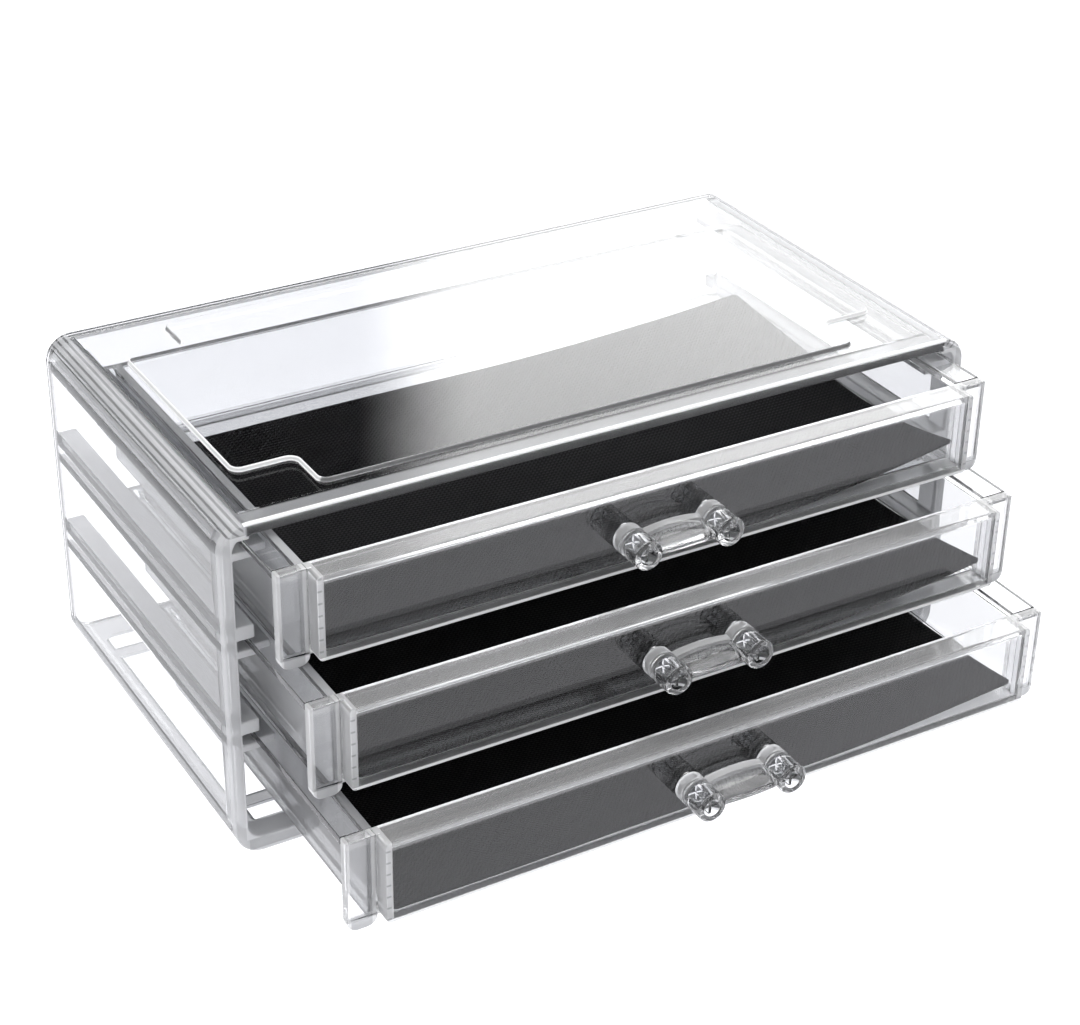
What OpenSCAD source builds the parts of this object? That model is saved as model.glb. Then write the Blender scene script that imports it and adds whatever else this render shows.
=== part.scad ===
// Clear three-drawer vanity organizer: a moulded casing with a stacking step on
// its lid, three clear trays hung by their flanges on ribs, and a soft mat in each.
// Millimetres. Z is up, the drawers open towards -Y, and the origin is the middle
// of the casing's underside.

/* [Casing] */
// Width of the casing over its side walls
case_w = 240; // [200:1:300]
// Depth of the casing, without the drawer fronts
case_d = 128; // [110:1:180]
// Thickness of the lid, the side walls, the floor and the back pane
wall = 2.5; // [2:0.1:3.2]
// Outside radius of the casing's four long edges
edge_r = 8; // [6:0.5:10]
// Width of the thickened rim round the open front
rim_w = 3.5; // [3.3:0.1:4]
// Depth of that rim, front to back
rim_d = 8; // [4:0.5:14]
// Free height under the lowest drawer front, from the underside
under_gap = 10.4; // [10:0.1:16]
// Free height between the lid and the top drawer
lid_gap = 2.7; // [2.3:0.1:5]

/* [Stacking step] */
// Height of the raised step on the lid
step_h = 1.2; // [0.8:0.1:1.6]
// Distance from the casing's side to the step's side
step_side = 15.5; // [13:0.5:24]
// Distance from the casing's front and back to the step's ends
step_end = 10; // [8:0.5:16]
// Size of the notch at each corner of the step, along X
notch_x = 18; // [8:0.5:30]
// Size of the notch at each corner of the step, along Y
notch_y = 16; // [8:0.5:26]
// Corner radius of the step
step_r = 3; // [1.5:0.5:5]
// Play between the step and the underside of a casing stacked on it
stack_play = 1; // [0.4:0.1:1.5]
// How much deeper the pocket in the underside is than the step is high
stack_depth_play = 0.4; // [0.2:0.1:0.8]
// Width of the underside's standing frame along the casing's sides
foot_side = 9.5; // [9:0.1:12]
// Width of the four cross bars in the underside's corners
bar_w = 4.5; // [3:0.1:6]
// Distance from a notch of the step to the cross bar that fits in it
bar_gap = 4; // [1:0.1:4.5]

/* [Ribs] */
// Thickness of the ribs that carry the drawers
rib_t = 2.2; // [1.6:0.1:2.6]
// Thickness of the guide ribs above the flanges
guide_t = 4.2; // [1.4:0.1:4.2]
// Running gap under the flanges
run_gap = 0.25; // [0.2:0.05:0.5]
// Running gap above the flanges
guide_gap = 0.5; // [0.3:0.05:0.8]
// Sideways play between a tray and the ribs' edges
side_play = 0.8; // [0.4:0.1:1.2]
// How far the guide ribs reach over the flanges
guide_lap = 1.5; // [1:0.1:3]

/* [Drawers] */
// Height of a tray and of its front face
tray_h = 25.3; // [22:0.1:34]
// Thickness of a tray's side and back walls
tray_wall = 2.4; // [1.8:0.1:3]
// Thickness of a tray's floor
tray_floor = 2; // [1.6:0.1:2.6]
// How far a tray's walls reach below its floor
skirt_h = 2.5; // [1:0.1:3]
// Radius of a tray's rear upright corners
tray_r = 3.4; // [3.2:0.1:5]
// How far the flanges stand out from the side walls
flange_w = 6.6; // [4.5:0.1:8]
// Thickness of the flanges
flange_t = 2.5; // [2:0.1:3]
// Gap between a flange's edge and the casing's side wall
flange_gap = 4.5; // [4:0.1:6]
// Gap between a closed tray and the back pane
back_gap = 0.85; // [0.5:0.05:3]

/* [Drawer fronts] */
// How far the raised front box stands before the wings
box_d = 5.35; // [4:0.05:8]
// How far the front box is narrower than the tray, each side
box_in = 2; // [1:0.1:3]
// Thickness of the front face
face_t = 2.2; // [1.8:0.1:3]
// Thickness of the front box's side walls
box_wall = 2; // [1.6:0.1:2.6]
// Thickness of the lip along the top of the front
lip_t = 2.4; // [1.8:0.1:3]
// Thickness of the wings
wing_t = 3.2; // [2.4:0.1:4]
// How far the wings hang below the tray
wing_drop = 3.5; // [2:0.1:5]
// Gap between the wings of neighbouring drawers
wing_gap = 1; // [0.6:0.1:2]
// Radius of the wings' lower outer corners
wing_r = 3; // [1:0.5:3.5]
// Radius of the front box's corners
box_r = 1.2; // [0.6:0.1:2]
// Gap left between a closed front and the ribs' ends
stop_gap = 0.2; // [0.1:0.05:0.5]

/* [Drawers pulled out] */
// How far the top drawer stands open
open_top = 15.7; // [0:0.1:90]
// How far the middle drawer stands open
open_middle = 32.7; // [0:0.1:90]
// How far the bottom drawer stands open
open_bottom = 51.2; // [0:0.1:90]

/* [Pulls] */
// Distance between a pull's two posts
post_span = 26.2; // [20:0.1:40]
// Outside diameter of a post
post_dia = 8.8; // [8:0.1:11]
// Length of a post in front of the face
post_len = 12; // [10:0.1:18]
// Length of the collar at a post's foot
collar_len = 3.6; // [2:0.1:5]
// Width of the groove in front of the collar
groove_w = 0.8; // [0.4:0.1:1.2]
// Depth of that groove
groove_d = 0.4; // [0.2:0.05:0.8]
// Diameter of a post's blind bore
bore_dia = 5.2; // [3.6:0.1:5.6]
// Depth of that bore
bore_depth = 7.5; // [4:0.1:9]
// Thickness of the cross inside the bore
cross_t = 0.9; // [0.6:0.1:1.2]
// How far the cross lies behind the post's end
cross_in = 1.4; // [0.8:0.1:3]
// Small bevel round a post's end
post_bevel = 0.5; // [0.3:0.1:0.8]
// Thickness of the web between the posts
web_t = 2.2; // [1.6:0.1:3]
// Rise of the arched web in its middle
web_rise = 2.2; // [0.8:0.1:2.8]
// Slope of the web, down towards the front, in degrees
web_slope = 11; // [0:0.5:14]
// How far the middle of the web's front edge stops behind the posts' ends
web_back = 0.4; // [0.1:0.1:3]
// How far the web's front edge bows forwards
web_bow = 2.4; // [1:0.1:3.5]
// Gap between the web and the front face
web_gap = 0.6; // [0.3:0.1:2]
// Diameter of the spigots that pass through the face
spigot_dia = 4.4; // [3:0.1:5.6]
// Clearance round a spigot, on its radius
spigot_fit = 0.05; // [0.02:0.01:0.15]

/* [Mats] */
// Thickness of a mat
mat_t = 1.2; // [0.8:0.1:2]
// Gap between a mat and the front box's side walls
mat_side = 0.5; // [0.3:0.1:2]
// Gap between a mat and the front face
mat_front = 0.4; // [0.3:0.1:2]
// Gap between a mat and the tray's back wall
mat_rear = 13.5; // [0.3:0.1:18]
// Corner radius of a mat
mat_r = 1.5; // [0.5:0.5:5]

/* [Hidden] */
$fn = 64;
eps = 0.01;
COUNT = 3;
OPEN = [open_top, open_middle, open_bottom];

// casing
half_w = case_w / 2;
half_d = case_d / 2;
pitch = tray_h + wing_drop + wing_gap;
case_h = under_gap + COUNT * pitch - wing_gap + lid_gap + wall;
pocket_h = step_h + stack_depth_play;
base_t = wall + pocket_h;
in_half = half_w - wall;
in_top = case_h - wall;
back_y = half_d - wall;
step_x = half_w - step_side;
step_y = half_d - step_end;
notch_in = step_x - notch_x;
notch_low = step_y - notch_y;
foot_x = half_w - foot_side;
foot_y = step_y + stack_play;

// drawers, in their own place: Y from the front face, Z from the tray's underside
flange_half = in_half - flange_gap;
tray_half = flange_half - flange_w;
cav_half = tray_half - tray_wall;
face_half = tray_half - box_in;
box_cav = face_half - box_wall;
front_d = box_d + wing_t;
tray_len = front_d + stop_gap + case_d - wall - back_gap;
cav_top = tray_h - lip_t;
mat_half = box_cav - mat_side;
mat_y0 = face_t + mat_front;
mat_y1 = tray_len - tray_wall - mat_rear;
rib_in = tray_half + side_play;
guide_in = flange_half - guide_lap;
pull_z = tray_h / 2;
post_r = post_dia / 2;
post_x = post_span / 2;
bore_r = bore_dia / 2;
spigot_r = spigot_dia / 2;

// Underside of the tray of drawer i, counted from the top
function tray_z(i) = case_h - wall - lid_gap - tray_h - i * pitch;
// Front face of drawer i
function face_y(i) = -half_d - stop_gap - front_d - OPEN[i];

// A 2-D shape drawn in X and Z, thickened from y0 to y1
module along_y(y0, y1) {
    translate([0, y1, 0]) rotate([90, 0, 0]) linear_extrude(height = y1 - y0) children();
}

// A rectangle from (-x, y0) to (x, y1) with rounded corners
module soft_rect(x, y0, y1, r) {
    translate([-x + r, y0]) square([2 * (x - r), y1 - y0]);
    translate([-x, y0 + r]) square([2 * x, y1 - y0 - 2 * r]);
    for (sx = [-1, 1], y = [y0 + r, y1 - r]) translate([sx * (x - r), y]) circle(r);
}

// A plan that is square at y0 and rounded at y1
module tub_plan(x, y0, y1, r) {
    translate([-x, y0]) square([2 * x, y1 - y0 - r]);
    translate([-x + r, y0]) square([2 * (x - r), y1 - y0]);
    for (sx = [-1, 1]) translate([sx * (x - r), y1 - r]) circle(r);
}

// The notched outline of the stacking step
module step_plan() {
    soft_rect(step_x, -notch_low, notch_low, step_r);
    soft_rect(notch_in, -step_y, step_y, step_r);
    for (sx = [-1, 1], sy = [-1, 1]) translate([sx * notch_in, sy * notch_low]) difference() {
        translate([sx > 0 ? 0 : -step_r, sy > 0 ? 0 : -step_r]) square(step_r);
        translate([sx * step_r, sy * step_r]) circle(step_r);
    }
}

// The pocket inside the underside's standing frame, round the cross bars that fit the step's notches
module pocket_plan() {
    bar_x = notch_in + stack_play;
    difference() {
        soft_rect(foot_x, -foot_y, foot_y, step_r);
        for (sx = [-1, 1], sy = [-1, 1]) translate([sx * (bar_x + foot_x) / 2, sy * (notch_low + bar_gap + bar_w / 2)]) {
            square([foot_x - bar_x + eps, bar_w], center = true);
        }
    }
}

// The ribs of one side, drawn in X and Z for the right-hand wall
module rib_section() {
    for (i = [0 : COUNT - 1]) {
        flange_low = tray_z(i) + tray_h - flange_t;
        guide_low = tray_z(i) + tray_h + guide_gap;
        guide_top = i == 0 ? in_top + eps : guide_low + guide_t;
        translate([rib_in, flange_low - run_gap - rib_t]) square([in_half - rib_in + eps, rib_t]);
        translate([guide_in, guide_low]) square([in_half - guide_in + eps, guide_top - guide_low]);
    }
}

module case_shell() {
    color([0.86, 0.9, 0.95, 0.35]) difference() {
        union() {
            along_y(-half_d, half_d) difference() {
                soft_rect(half_w, 0, case_h, edge_r);
                soft_rect(in_half, base_t, in_top, edge_r - wall);
            }
            along_y(-half_d, -half_d + rim_d) difference() {
                soft_rect(half_w, 0, case_h, edge_r);
                soft_rect(half_w - rim_w, base_t + rim_w - wall, case_h - rim_w, edge_r - rim_w);
            }
            along_y(-half_d, back_y) rib_section();
            along_y(-half_d, back_y) mirror([1, 0]) rib_section();
            translate([0, 0, case_h - eps]) linear_extrude(height = step_h + eps) step_plan();
        }
        translate([0, 0, -1]) linear_extrude(height = pocket_h + 1) pocket_plan();
    }
}

module case_back() {
    color([0.8, 0.86, 0.93, 0.35]) along_y(back_y, half_d) soft_rect(in_half, base_t, in_top, edge_r - wall);
}

// Clear tub behind the front: floor, two sides and a back wall that reach below it, and the two flanges
module tray(i) {
    translate([0, face_y(i), tray_z(i)]) {
        linear_extrude(height = tray_floor) tub_plan(tray_half, front_d, tray_len, tray_r);
        translate([0, 0, -skirt_h]) linear_extrude(height = tray_h + skirt_h) difference() {
            tub_plan(tray_half, front_d, tray_len, tray_r);
            tub_plan(cav_half, front_d - 1, tray_len - tray_wall, tray_r - tray_wall);
        }
        translate([0, 0, tray_h - flange_t]) linear_extrude(height = flange_t) difference() {
            tub_plan(flange_half, front_d, tray_len, tray_r);
            tub_plan(tray_half - eps, front_d - 1, tray_len + eps, tray_r);
        }
    }
}

// Outline of the wing frame, in X and Z
module wing_section() {
    translate([-flange_half, 0]) square([2 * flange_half, tray_h]);
    for (sx = [-1, 1]) translate([sx * (face_half + flange_half) / 2, 0]) {
        soft_rect((flange_half - face_half) / 2, -wing_drop, tray_h, wing_r);
    }
}

// Hollow front box, the lip on top and the wings at its ends
module front(i) {
    translate([0, face_y(i), tray_z(i)]) difference() {
        union() {
            along_y(0, box_d + eps) soft_rect(face_half, 0, tray_h, box_r);
            along_y(box_d, front_d) wing_section();
        }
        translate([-box_cav, face_t, tray_floor]) cube([2 * box_cav, front_d, cav_top - tray_floor]);
        for (sx = [-1, 1]) translate([sx * post_x, -1, pull_z]) rotate([-90, 0, 0]) {
            cylinder(h = face_t + 2, r = spigot_r + spigot_fit);
        }
    }
}

// One post of a pull with its bore and cross, its foot at y = 0, running to -Y
module post() {
    rotate([90, 0, 0]) {
        rotate_extrude() polygon([[0, 0], [post_r, 0],
            [post_r, collar_len], [post_r - groove_d, collar_len],
            [post_r - groove_d, collar_len + groove_w], [post_r, collar_len + groove_w],
            [post_r, post_len - post_bevel], [post_r - post_bevel, post_len],
            [bore_r, post_len], [bore_r, post_len - bore_depth], [0, post_len - bore_depth]]);
        for (a = [0, 90]) rotate([0, 0, a]) translate([-bore_r - eps, -cross_t / 2, post_len - bore_depth - eps]) {
            cube([2 * (bore_r + eps), cross_t, bore_depth - cross_in]);
        }
        translate([0, 0, -face_t]) cylinder(h = face_t + eps, r = spigot_r);
    }
}

// Arched web between the posts: a curved sheet that slopes down to a bowed front edge
module web() {
    reach = post_len - web_back;
    arch_r = (post_x * post_x + web_rise * web_rise) / (2 * web_rise);
    bow_r = (post_x * post_x + web_bow * web_bow) / (2 * web_bow);
    intersection() {
        rotate([web_slope, 0, 0]) along_y(-2 * post_len, post_len) translate([0, web_rise - arch_r]) difference() {
            circle(arch_r + web_t / 2, $fn = 180);
            circle(arch_r - web_t / 2, $fn = 180);
        }
        translate([-post_x, -reach, -post_r]) cube([post_span, reach - web_gap, 2 * post_r + web_rise]);
        translate([0, bow_r - reach, -post_r]) cylinder(h = 2 * post_r + web_rise, r = bow_r, $fn = 180);
    }
}

module pull(i) {
    translate([0, face_y(i), tray_z(i) + pull_z]) {
        difference() {
            web();
            for (sx = [-1, 1]) translate([sx * post_x, 0, 0]) rotate([90, 0, 0]) {
                cylinder(h = post_len, r = post_r - post_bevel);
            }
        }
        for (sx = [-1, 1]) translate([sx * post_x, 0, 0]) post();
    }
}

module mat(i) {
    translate([0, face_y(i), tray_z(i) + tray_floor]) {
        linear_extrude(height = mat_t) soft_rect(mat_half, mat_y0, mat_y1, mat_r);
    }
}

module tray_top() { color([0.84, 0.89, 0.94, 0.35]) tray(0); }
module tray_middle() { color([0.84, 0.89, 0.94, 0.35]) tray(1); }
module tray_bottom() { color([0.84, 0.89, 0.94, 0.35]) tray(2); }
module front_top() { color([0.78, 0.86, 0.95, 0.35]) front(0); }
module front_middle() { color([0.78, 0.86, 0.95, 0.35]) front(1); }
module front_bottom() { color([0.78, 0.86, 0.95, 0.35]) front(2); }
module pull_top() { color([0.9, 0.93, 0.97, 0.5]) pull(0); }
module pull_middle() { color([0.9, 0.93, 0.97, 0.5]) pull(1); }
module pull_bottom() { color([0.9, 0.93, 0.97, 0.5]) pull(2); }
module mat_top() { color([0.1, 0.1, 0.11]) mat(0); }
module mat_middle() { color([0.1, 0.1, 0.11]) mat(1); }
module mat_bottom() { color([0.1, 0.1, 0.11]) mat(2); }

case_shell();
case_back();
tray_top();
tray_middle();
tray_bottom();
front_top();
front_middle();
front_bottom();
pull_top();
pull_middle();
pull_bottom();
mat_top();
mat_middle();
mat_bottom();
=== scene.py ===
"""Looks of a small clear three-drawer vanity organizer.

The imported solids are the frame. The casing, the trays and the drawer fronts are shown as the same
solids with their edges softened, the pulls and the woven mats are new surfaces. Metres, Z up, the
drawers open towards -Y.
"""
import math

import bmesh
import bpy
import numpy as np
from bpy.props import FloatProperty, FloatVectorProperty, IntProperty, PointerProperty
from bpy.types import Operator, Panel, PropertyGroup
from mathutils import Matrix, Vector


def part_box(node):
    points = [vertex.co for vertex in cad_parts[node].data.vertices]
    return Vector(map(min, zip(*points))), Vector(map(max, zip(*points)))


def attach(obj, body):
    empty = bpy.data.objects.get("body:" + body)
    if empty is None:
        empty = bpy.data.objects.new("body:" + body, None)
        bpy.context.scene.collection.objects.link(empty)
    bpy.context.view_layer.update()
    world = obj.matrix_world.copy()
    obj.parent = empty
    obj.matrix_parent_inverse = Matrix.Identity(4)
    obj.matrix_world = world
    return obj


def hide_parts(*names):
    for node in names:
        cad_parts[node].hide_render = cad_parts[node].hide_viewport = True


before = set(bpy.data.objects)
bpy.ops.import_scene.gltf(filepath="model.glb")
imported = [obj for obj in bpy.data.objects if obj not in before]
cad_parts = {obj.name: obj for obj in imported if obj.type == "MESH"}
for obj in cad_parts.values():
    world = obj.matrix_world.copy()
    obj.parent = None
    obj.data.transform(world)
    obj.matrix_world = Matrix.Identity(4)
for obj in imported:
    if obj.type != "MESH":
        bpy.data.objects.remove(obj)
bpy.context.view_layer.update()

bl_info = {
    "name": "Clear Drawer Organizer",
    "version": (1, 0, 0),
    "blender": (4, 5, 0),
    "location": "3D View > Sidebar > Organizer",
    "description": "Builds the looks of a clear three-drawer vanity organizer on its packed solids",
    "category": "Mesh",
}

MM = 0.001
DRAWERS = ("top", "middle", "bottom")
FIRST_SEED = 11          # random waves of the top mat; the next mats take the next seeds
MERGE = 0.025 * MM       # points of a solid that are this near each other are one point
FLAT_ANGLE = math.radians(0.5)   # faces of a solid that turn less than this are one face
EDGE_ANGLE = math.radians(35)    # edges that turn more than this are rounded
CREASE_ANGLE = math.radians(40)  # edges of a pull that turn more than this stay sharp


# ---------------------------------------------------------------- shader maths

class Value:
    """A number that varies over a surface. Arithmetic on it adds Math nodes to its graph."""

    def __init__(self, graph, socket):
        self.graph = graph
        self.socket = socket

    def _math(self, operation, *terms):
        node = self.graph.node("ShaderNodeMath", {"operation": operation}, dict(enumerate(terms)))
        return Value(self.graph, node.outputs[0])

    def __add__(self, other):
        return self._math("ADD", self, other)

    __radd__ = __add__

    def __sub__(self, other):
        return self._math("SUBTRACT", self, other)

    def __rsub__(self, other):
        return self._math("SUBTRACT", other, self)

    def __mul__(self, other):
        return self._math("MULTIPLY", self, other)

    __rmul__ = __mul__

    def __abs__(self):
        return self._math("ABSOLUTE", self)

    def sine(self):
        return self._math("SINE", self)

    def larger(self, other):
        return self._math("MAXIMUM", self, other)

    def stripes(self, spacing, low, high):
        """Soft stripes a spacing apart: a sine of the value, cut off from low to high."""
        return (self * (2 * math.pi / spacing)).sine().step(low, high)

    def within(self, low, high, soft=0.2 * MM):
        """1 from low to high and 0 outside, with a soft step at both."""
        return self.step(low - soft, low) * (1.0 - self.step(high, high + soft))

    def past(self, place, soft=0.3 * MM):
        """0 up to place, 1 past it, with a soft rise."""
        return self.step(place, place + soft)

    def before(self, place, soft=0.3 * MM):
        """1 up to place, 0 past it, with a soft fall."""
        return 1.0 - self.past(place, soft)

    def step(self, low, high):
        """0 below low, 1 above high, and a smooth rise between them."""
        node = self.graph.node("ShaderNodeMapRange", {"interpolation_type": "SMOOTHSTEP"},
                               {"Value": self, "From Min": low, "From Max": high})
        return Value(self.graph, node.outputs["Result"])


class Graph:
    """The node tree of one material or world. Every node is made by its one method, node()."""

    def __init__(self, tree):
        self.tree = tree
        tree.nodes.clear()

    def node(self, kind, settings=None, inputs=None):
        """Adds a node, makes its settings, then fills its sockets with numbers or links."""
        made = self.tree.nodes.new(kind)
        for name, setting in (settings or {}).items():
            setattr(made, name, setting)
        for name, given in (inputs or {}).items():
            socket = made.inputs[name]
            given = getattr(given, "socket", given)
            if isinstance(given, bpy.types.NodeSocket):
                self.tree.links.new(given, socket)
            else:
                socket.default_value = given
        return made

    def value(self, kind, output, settings=None, inputs=None):
        """The same for a node of which only one output is used, as a Value."""
        return Value(self, self.node(kind, settings, inputs).outputs[output])

    def colours(self, share, first, second):
        """Colour that goes from first to second as share goes from 0 to 1."""
        factor, colour_a, colour_b, result = 0, 6, 7, 2  # the Mix node's colour sockets share names
        return self.value("ShaderNodeMix", result, {"data_type": "RGBA"},
                          {factor: share, colour_a: first, colour_b: second})


def new_material(name):
    """An empty node material and its graph."""
    material = bpy.data.materials.new(name)
    material.use_nodes = True
    return material, Graph(material.node_tree)


def clear_plastic(name, looks, paint):
    """Polished clear plastic: it bends light, with faint handling haze and a slow moulding ripple.

    Its third argument takes the place along X, Y and Z and how level the surface is (1 level, 0
    upright), and gives three numbers: how much of a painted skin covers the surface, its tone (1
    painted pale light, 0 painted grey, -1 painted dark), and how frosted the plastic under it is.
    The skin is painted light and shade: it stands for edges, ribs and lips, which look pale and
    cloudy because light has scattered in them over a long way, or dark because they pass on the
    view of a mat.
    """
    material, graph = new_material(name)
    place = graph.value("ShaderNodeTexCoord", "Object")

    def noise(scale, detail, roughness):
        return graph.value("ShaderNodeTexNoise", "Fac", None,
                           {"Vector": place, "Scale": scale, "Detail": detail, "Roughness": roughness})

    haze, streaks, wave = noise(34.0, 5.0, 0.6), noise(160.0, 2.0, 0.5), noise(42.0, 1.0, 0.4)
    hazy = haze.step(0.52, 0.78)
    tint, hazy_tint = Vector(looks.tint), Vector(looks.tint) * 0.985
    bump = graph.node("ShaderNodeBump", None,
                      {"Strength": 1.0, "Distance": looks.ripple, "Height": wave})
    axes = graph.node("ShaderNodeSeparateXYZ", None, {"Vector": place})
    upward = graph.node("ShaderNodeSeparateXYZ", None, {
        "Vector": graph.node("ShaderNodeNewGeometry").outputs["Normal"]}).outputs["Z"]
    share, tone, frost = paint(*(Value(graph, axes.outputs[axis]) for axis in "XYZ"),
                              abs(Value(graph, upward)))
    clear = graph.node("ShaderNodeBsdfPrincipled", None, {
        "Base Color": graph.colours(hazy, (*tint, 1.0), (*hazy_tint, 1.0)),
        "Roughness": looks.polish + hazy * streaks * looks.smudge + frost,
        "Transmission Weight": 1.0,
        "IOR": looks.bend,
        "Normal": bump.outputs["Normal"],
    })
    # painted colour of the skin: painted grey, painted pale light, and painted dark where a mat shows
    # through
    skin_colour = graph.colours(tone, (*looks.painted_grey, 1.0), (*looks.painted_pale, 1.0))
    overpainted = graph.node("ShaderNodeBsdfPrincipled", None, {
        "Base Color": graph.colours(0.0 - tone, skin_colour, (*looks.painted_mat_dark, 1.0)),
        "Roughness": 0.3 + streaks * 0.2,
        "Normal": bump.outputs["Normal"],
    })
    # the painted skin is a little thicker where the haze is
    surface = graph.node("ShaderNodeMixShader", None, {
        0: share * (0.9 + haze * 0.2), 1: clear.outputs["BSDF"], 2: overpainted.outputs["BSDF"]})
    graph.node("ShaderNodeOutputMaterial", None, {"Surface": surface.outputs[0]})
    return material


def woven_mesh(name, dark, light, pitch):
    """Black mesh cloth: two sets of flat yarns at 45 degrees that pass over and under each other."""
    material, graph = new_material(name)
    flat = graph.node("ShaderNodeSeparateXYZ", None,
                      {"Vector": graph.node("ShaderNodeUVMap", {"uv_map": "cloth"}).outputs["UV"]})
    along, across = Value(graph, flat.outputs["X"]), Value(graph, flat.outputs["Y"])
    turn = math.pi / pitch / math.sqrt(2)
    first = ((along + across) * turn).sine()
    second = ((along - across) * turn).sine()
    weave = first * second
    over = weave.step(-0.25, 0.25)
    height = abs(first) * over + abs(second) * (1.0 - over)
    dust = graph.value("ShaderNodeTexNoise", "Fac", None, {
        "Vector": graph.node("ShaderNodeUVMap", {"uv_map": "cloth"}).outputs["UV"],
        "Scale": 90.0, "Detail": 4.0, "Roughness": 0.6})
    # painted shade and sheen: the gaps between the yarns are painted darker as shade, and the yarns' crowns
    # lighter as a painted sheen over the yarn's own near-black colour, varied at random by the dust noise
    crown = height.step(0.25, 0.95) * (0.55 + dust * 0.9)
    colour = graph.colours(crown, (*dark, 1.0), (*light, 1.0))
    bump = graph.node("ShaderNodeBump", None,
                      {"Strength": 0.9, "Distance": pitch * 0.3, "Height": height})
    shader = graph.node("ShaderNodeBsdfPrincipled", None, {
        "Base Color": colour,
        "Roughness": 0.78 - crown * 0.25,
        "Specular IOR Level": 0.06,
        "Sheen Weight": 0.05,
        "Normal": bump.outputs["Normal"],
    })
    graph.node("ShaderNodeOutputMaterial", None, {"Surface": shader.outputs["BSDF"]})
    return material


# ---------------------------------------------------------------- mesh helpers

def add_piece(name, mesh, material, slot, body, *nodes):
    """Puts a mesh that is already in its place into the scene, in the stead of the CAD nodes."""
    piece = bpy.data.objects.new(name, mesh)
    bpy.context.scene.collection.objects.link(piece)
    mesh.materials.clear()
    mesh.materials.append(material)
    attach(piece, body)
    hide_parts(*nodes)
    return piece


def grid_mesh(name, points, ring=False):
    """A mesh from a rows x columns x 3 array of points. With ring, the last column joins the first.

    Point (i, j) is number i * columns + j, and each face takes (i, j), (i, j+1), (i+1, j+1), (i+1, j).
    """
    rows, columns = points.shape[:2]
    number = np.arange(rows * columns).reshape(rows, columns)
    if ring:
        number = np.concatenate([number, number[:, :1]], axis=1)
    faces = np.stack([number[:-1, :-1], number[:-1, 1:], number[1:, 1:], number[1:, :-1]], axis=-1)
    mesh = bpy.data.meshes.new(name)
    mesh.from_pydata(points.reshape(-1, 3), [], faces.reshape(-1, 4))
    return mesh


def joined(name, meshes, merge=1e-7):
    """One mesh from several, with points that coincide merged, open ends filled, faces outwards."""
    built = bmesh.new()
    for mesh in meshes:
        built.from_mesh(mesh)
        bpy.data.meshes.remove(mesh)
    bmesh.ops.remove_doubles(built, verts=built.verts, dist=merge)
    bmesh.ops.holes_fill(built, edges=[e for e in built.edges if e.is_boundary], sides=0)
    bmesh.ops.recalc_face_normals(built, faces=built.faces)
    mesh = bpy.data.meshes.new(name)
    built.to_mesh(mesh)
    built.free()
    return mesh


def rounded_profile(corners, radii, steps=4):
    """A polyline whose corners are replaced by arcs.

    At a corner the arc is the quadratic curve that starts radius before the corner, has the corner
    as its control point, and ends radius behind it: (1-t)^2 A + 2t(1-t) C + t^2 B.
    """
    corners = np.asarray(corners, float)
    radii = np.asarray(radii, float)[:, None]
    before, here, after = corners[:-2], corners[1:-1], corners[2:]
    start = here + (before - here) / np.linalg.norm(before - here, axis=1)[:, None] * radii
    end = here + (after - here) / np.linalg.norm(after - here, axis=1)[:, None] * radii
    t = np.linspace(0, 1, steps + 1)[None, :, None]
    arcs = (1 - t) ** 2 * start[:, None] + 2 * t * (1 - t) * here[:, None] + t ** 2 * end[:, None]
    return np.concatenate([corners[:1], arcs.reshape(-1, 2), corners[-1:]])


def softened_copy(name, node, radius, material, slot, body, cuts=(0.0,), seam=0.0):
    """The CAD node's own solid with its edges rounded off.

    The copy is merged first. cuts are the places along X of upright seams that part each face that
    has a hole in it. seam draws the faces at its ends in by a hair, so that two pieces that
    meet don't share a face. Bevel rounds the edges and Weighted Normal keeps the flats flat.
    """
    built = bmesh.new()
    built.from_mesh(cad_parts[node].data)
    bmesh.ops.remove_doubles(built, verts=built.verts, dist=MERGE)
    for place in cuts:
        cut = bmesh.ops.bisect_plane(built, geom=built.verts[:] + built.edges[:] + built.faces[:],
                                     dist=1e-7, plane_co=(place, 0, 0), plane_no=(1, 0, 0))
        for edge in cut["geom_cut"]:
            if isinstance(edge, bmesh.types.BMEdge):
                edge.seam = True
    bmesh.ops.dissolve_limit(built, angle_limit=FLAT_ANGLE, verts=built.verts,
                             edges=built.edges, use_dissolve_boundaries=False, delimit={"SEAM"})
    mesh = bpy.data.meshes.new(name)
    built.to_mesh(mesh)
    built.free()
    if seam:
        count = len(mesh.vertices)
        place = np.empty(count * 3, np.float32)
        mesh.vertices.foreach_get("co", place)
        place = place.reshape(-1, 3)
        low, high = place.min(axis=0), place.max(axis=0)
        near = 0.05 * MM
        place = place + seam * (place < low + near) - seam * (place > high - near)
        mesh.vertices.foreach_set("co", place.astype(np.float32).ravel())
    mesh.shade_smooth()
    piece = add_piece(name, mesh, material, slot, body, node)
    bevel = piece.modifiers.new("rounded edges", "BEVEL")
    bevel.width = radius
    bevel.segments = 3
    bevel.limit_method = "ANGLE"
    bevel.angle_limit = EDGE_ANGLE
    bevel.use_clamp_overlap = False
    flats = piece.modifiers.new("flat flats", "WEIGHTED_NORMAL")
    flats.mode = "FACE_AREA"
    flats.keep_sharp = True
    return piece


# ---------------------------------------------------------------- pulls

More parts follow.
